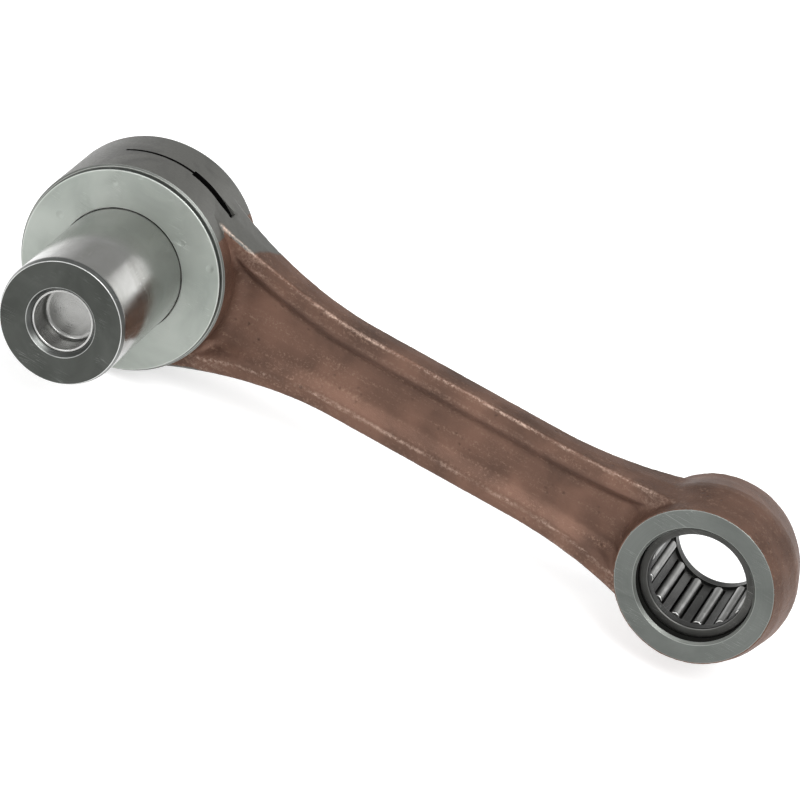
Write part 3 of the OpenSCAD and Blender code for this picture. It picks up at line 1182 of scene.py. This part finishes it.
@dataclass
class ThrustWashers:
    """The two plated thrust washers beside the big eye."""

    outer: float = 19.4
    inner: float = 12.1
    near: float = 9.3
    thick: float = 1.0

    def dress(self, paint: Paint) -> list[Piece]:
        """Builds both washers with rolled edges and finishes them.

        Args:
            paint: Gives out the materials.

        Returns:
            The pieces.
        """
        made = []
        for side in Side:
            o, i, t = self.outer, self.inner, self.thick
            corners = [(i, 0.0, 0.12), (o, 0.0, 0.22), (o, t, 0.3), (i, t, 0.2)]
            name = f"thrust_washer_{side.name.lower()}"
            washer = turn(f"{side.name.lower()}_washer_plated", soften(corners, 6), 192, 60.0)
            flip = Matrix.Rotation(math.pi if side is Side.FRONT else 0, 4, "X")
            washer.data.transform(Matrix.Translation((0, side.value * self.near * MM, 0)) @ flip)
            # The outer rim of each washer takes painted shade.
            sort_faces(washer, around_axis(washer)[0] > o - 0.03)
            paint.coat(washer, "washer", "washer_side")
            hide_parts(name)
            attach(washer, name)
            made.append(washer)
        return made


# ---- Bearings --------------------------------------------------------------


@dataclass
class CagedBearing:
    """A cage with its rollers, round an axis at x, from y = start."""

    prefix: str
    roller_prefix: str
    x: float
    start: float
    outer: float
    inner: float
    relief: float
    width: float
    count: int
    phase: float
    pitch: float
    roller_radius: float
    roller_length: float
    dome: float
    play: float = 0.12
    gap: float = 0.38

    def cage(self) -> Piece:
        """Turns the cage, cuts its windows and breaks their edges.

        Returns:
            The cage in its place.
        """
        rim = (self.width - self.roller_length) / 2 - self.play
        o, i, b, w = self.outer, self.inner, self.relief, self.width
        corners = [(i, 0.0, 0.42), (o, 0.0, 0.3), (o, w, 0.3), (i, w, 0.42),
                   (i, w - rim * 0.75, 0.1), (i + b, w - rim * 0.75 - b, 0.1),
                   (i + b, rim * 0.75 + b, 0.1), (i, rim * 0.75, 0.1)]
        ring = turn(f"{self.prefix}_pierced", soften(corners), 168)
        r, depth = self.roller_radius, (o - i) * 1.6
        levels = [(-depth, r + self.gap), (0.0, r + self.gap), (0.5 * r, 0.87 * r + 0.15),
                  (0.8 * r, 0.6 * r + 0.12), (0.93 * r, 0.37 * r + 0.12), (depth, 0.37 * r + 0.12)]
        points, faces = [], []
        for k in range(self.count):
            a = math.radians(self.phase) + 2 * math.pi * k / self.count
            out = Vector((math.cos(a), 0, math.sin(a)))
            side = Vector((-math.sin(a), 0, math.cos(a)))
            first = len(points)
            for d, half in levels:
                for s, h in ((-1, rim), (1, rim), (1, w - rim), (-1, w - rim)):
                    spot = out * (self.pitch + d) + side * (s * half) + Vector((0, h, 0))
                    points.append(tuple(spot))
            last = first + 4 * (len(levels) - 1)
            faces += [[first, first + 1, first + 2, first + 3],
                      [last + 3, last + 2, last + 1, last]]
            for n in range(first, last, 4):
                faces += [[n + c, n + 4 + c, n + 4 + (c + 1) % 4, n + (c + 1) % 4]
                          for c in range(4)]
        punch = publish("window_punch", np.array(points), faces)
        cut = ring.modifiers.new("windows", "BOOLEAN")
        cut.object, cut.operation, cut.solver = punch, "DIFFERENCE", "EXACT"
        edge = ring.modifiers.new("broken_edges", "BEVEL")
        edge.width, edge.segments, edge.limit_method = 0.1 * MM, 2, "ANGLE"
        edge.angle_limit = math.radians(50)
        settle(ring)
        bpy.data.objects.remove(punch)
        ring.location = (self.x * MM, self.start * MM, 0)
        ring.data.set_sharp_from_angle(angle=math.radians(40))
        return ring

    def rollers(self) -> list[Piece]:
        """Turns one roller with domed ends and places a copy in each window.

        Returns:
            The rollers in order round the cage.
        """
        r, n, c = self.roller_radius, self.roller_length, self.dome
        corners = [(0.0, 0.0, 0.0), (r, 0.0, c), (r, n, c), (0.0, n, 0.0)]
        first = turn(f"{self.roller_prefix}_01_lapped", soften(corners, 6), 40, 50.0)
        made = [first]
        for k in range(1, self.count):
            made.append(place(f"{self.roller_prefix}_{k + 1:02d}_lapped", first.data))
        low = self.start + (self.width - n) / 2
        for k, roller in enumerate(made):
            a = math.radians(self.phase) + 2 * math.pi * k / self.count
            roller.location = ((self.x + self.pitch * math.cos(a)) * MM, low * MM,
                               self.pitch * math.sin(a) * MM)
        return made

    def dress(self, paint: Paint) -> list[Piece]:
        """Builds the bearing, finishes it and ties each piece to its own body.

        Args:
            paint: Gives out the materials.

        Returns:
            The pieces.
        """
        cage = self.cage()
        paint.coat(cage, "cage")
        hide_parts(self.prefix)
        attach(cage, self.prefix)
        rollers = self.rollers()
        paint.coat(rollers[0], "roller")
        for k, roller in enumerate(rollers):
            name = f"{self.roller_prefix}_{k + 1:02d}"
            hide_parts(name)
            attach(roller, name)
        return [cage, *rollers]


# ---- Studio ----------------------------------------------------------------


@dataclass
class Studio:
    """Pale floor, soft lamps, plain surroundings and the camera."""

    eye: Spot = (0.155776, -0.789211, 0.391027)
    right: Spot = (0.868329, 0.304261, 0.391701)
    up: Spot = (-0.483, 0.33918, 0.807259)
    toward: Spot = (0.112761, -0.890159, 0.441478)
    lens: float = 216.7
    floor_height: float = -0.0203
    target: Spot = (0.05, 0.0, 0.0)

    def camera(self) -> None:
        """Makes the camera and sets it as the scene's own."""
        data = bpy.data.cameras.new("studio_camera")
        data.lens, data.sensor_width = self.lens, 36.0
        data.clip_start, data.clip_end = 0.01, 20.0
        made = place("studio_camera", data)
        turn_to = Matrix((self.right, self.up, self.toward)).transposed().to_4x4()
        made.matrix_world = Matrix.Translation(self.eye) @ turn_to
        bpy.context.scene.camera = made

    def floor(self) -> None:
        """Lays the pale floor, white to the camera and to reflections."""
        mesh = bpy.data.meshes.new("studio_floor")
        s, h = 4.0, self.floor_height
        mesh.from_pydata([(-s, -s, h), (s, -s, h), (s, s, h), (-s, s, h)], [], [[0, 1, 2, 3]])
        made = place("studio_floor", mesh)
        material, bench = open_material("studio_floor_paper")
        path = bench.add("LightPath")
        seen = bench.maths("MAXIMUM", path.outputs["Is Camera Ray"], bench.maths(
            "MAXIMUM", path.outputs["Is Glossy Ray"], path.outputs["Is Transmission Ray"]))
        grain = bench.add("TexNoise", Scale=40.0, Detail=2.0)
        tone = bench.blend(bench.spread(grain.outputs[0], 0.3, 0.7), (0.64, 0.64, 0.64, 1),
                           (0.66, 0.66, 0.66, 1))
        shader = bench.add("BsdfPrincipled", Base_Color=tone, Roughness=0.9)
        shader.inputs["Emission Color"].default_value = (1, 1, 1, 1)
        bench.tree.links.new(bench.times(seen, 0.62), shader.inputs["Emission Strength"])
        bench.add("OutputMaterial", Surface=shader.outputs[0])
        mesh.materials.append(material)

    def surroundings(self) -> None:
        """A white horizon that falls to grey overhead."""
        world = bpy.data.worlds.new("studio_room")
        bpy.context.scene.world = world
        world.use_nodes = True
        bench = Bench(world.node_tree)
        way = bench.add("SeparateXYZ", Vector=bench.add("TexCoord").outputs["Generated"])
        ramp = bench.add("ValToRGB", in0=way.outputs[2])
        points = ramp.color_ramp.elements
        points[0].position, points[0].color = 0.06, (1, 1, 1, 1)
        points[1].position, points[1].color = 0.3, (0.54, 0.54, 0.54, 1)
        top = points.new(1.0)
        top.color = (0.62, 0.62, 0.62, 1)
        back = bench.add("Background", Color=ramp.outputs[0], Strength=1.0)
        bench.add("OutputWorld", Surface=back.outputs[0])

    def lamp(self, name: str, spot: Spot, size: tuple[float, float], power: float) -> None:
        """Adds a soft area lamp aimed at the middle of the rod.

        Args:
            name: Name of the lamp.
            spot: Position in metres.
            size: Width and height in metres.
            power: Power in watts.
        """
        data = bpy.data.lights.new(name, "AREA")
        data.shape, data.size, data.size_y, data.energy = "RECTANGLE", size[0], size[1], power
        made = place(name, data)
        made.location = spot
        aim = Vector(self.target) - Vector(spot)
        made.rotation_mode = "QUATERNION"
        made.rotation_quaternion = aim.to_track_quat("-Z", "Y")

    def build(self) -> None:
        """Sets up the whole studio."""
        bpy.context.scene.view_settings.view_transform = "Standard"
        self.surroundings()
        self.floor()
        self.lamp("key_softbox", (0.5, -0.7, 1.3), (1.1, 1.1), 20.0)
        self.lamp("fill_softbox", (-1.0, -1.1, 0.8), (1.1, 0.8), 8.0)
        self.lamp("back_card", (0.34, 0.86, 0.33), (0.4, 0.3), 0.45)
        self.camera()


def main() -> None:
    """Builds the connecting rod piece by piece and sets up the studio."""
    logging.basicConfig(level=logging.INFO, format="%(name)s: %(message)s")
    Studio().build()
    paint = Paint()
    big = CagedBearing(
        "big_end_cage", "big_end_roller", x=0.0, start=-7.9, outer=15.4, inner=12.9, relief=0.3,
        width=15.8, count=14, phase=0.0, pitch=13.75, roller_radius=1.74, roller_length=11.8,
        dome=0.3)
    small = CagedBearing(
        "small_end_cage", "small_end_needle", x=120.0, start=-6.9, outer=10.9, inner=9.2,
        relief=0.5, width=22.8, count=14, phase=8.0, pitch=10.0, roller_radius=0.99,
        roller_length=16.8, dome=0.35)
    for assembly in (Rod(), CrankPin(), ThrustWashers(), big, small):
        for piece in assembly.dress(paint):
            LOG.info("%s: %d faces", piece.name, len(piece.data.polygons))


if __name__ == "__main__":
    main()
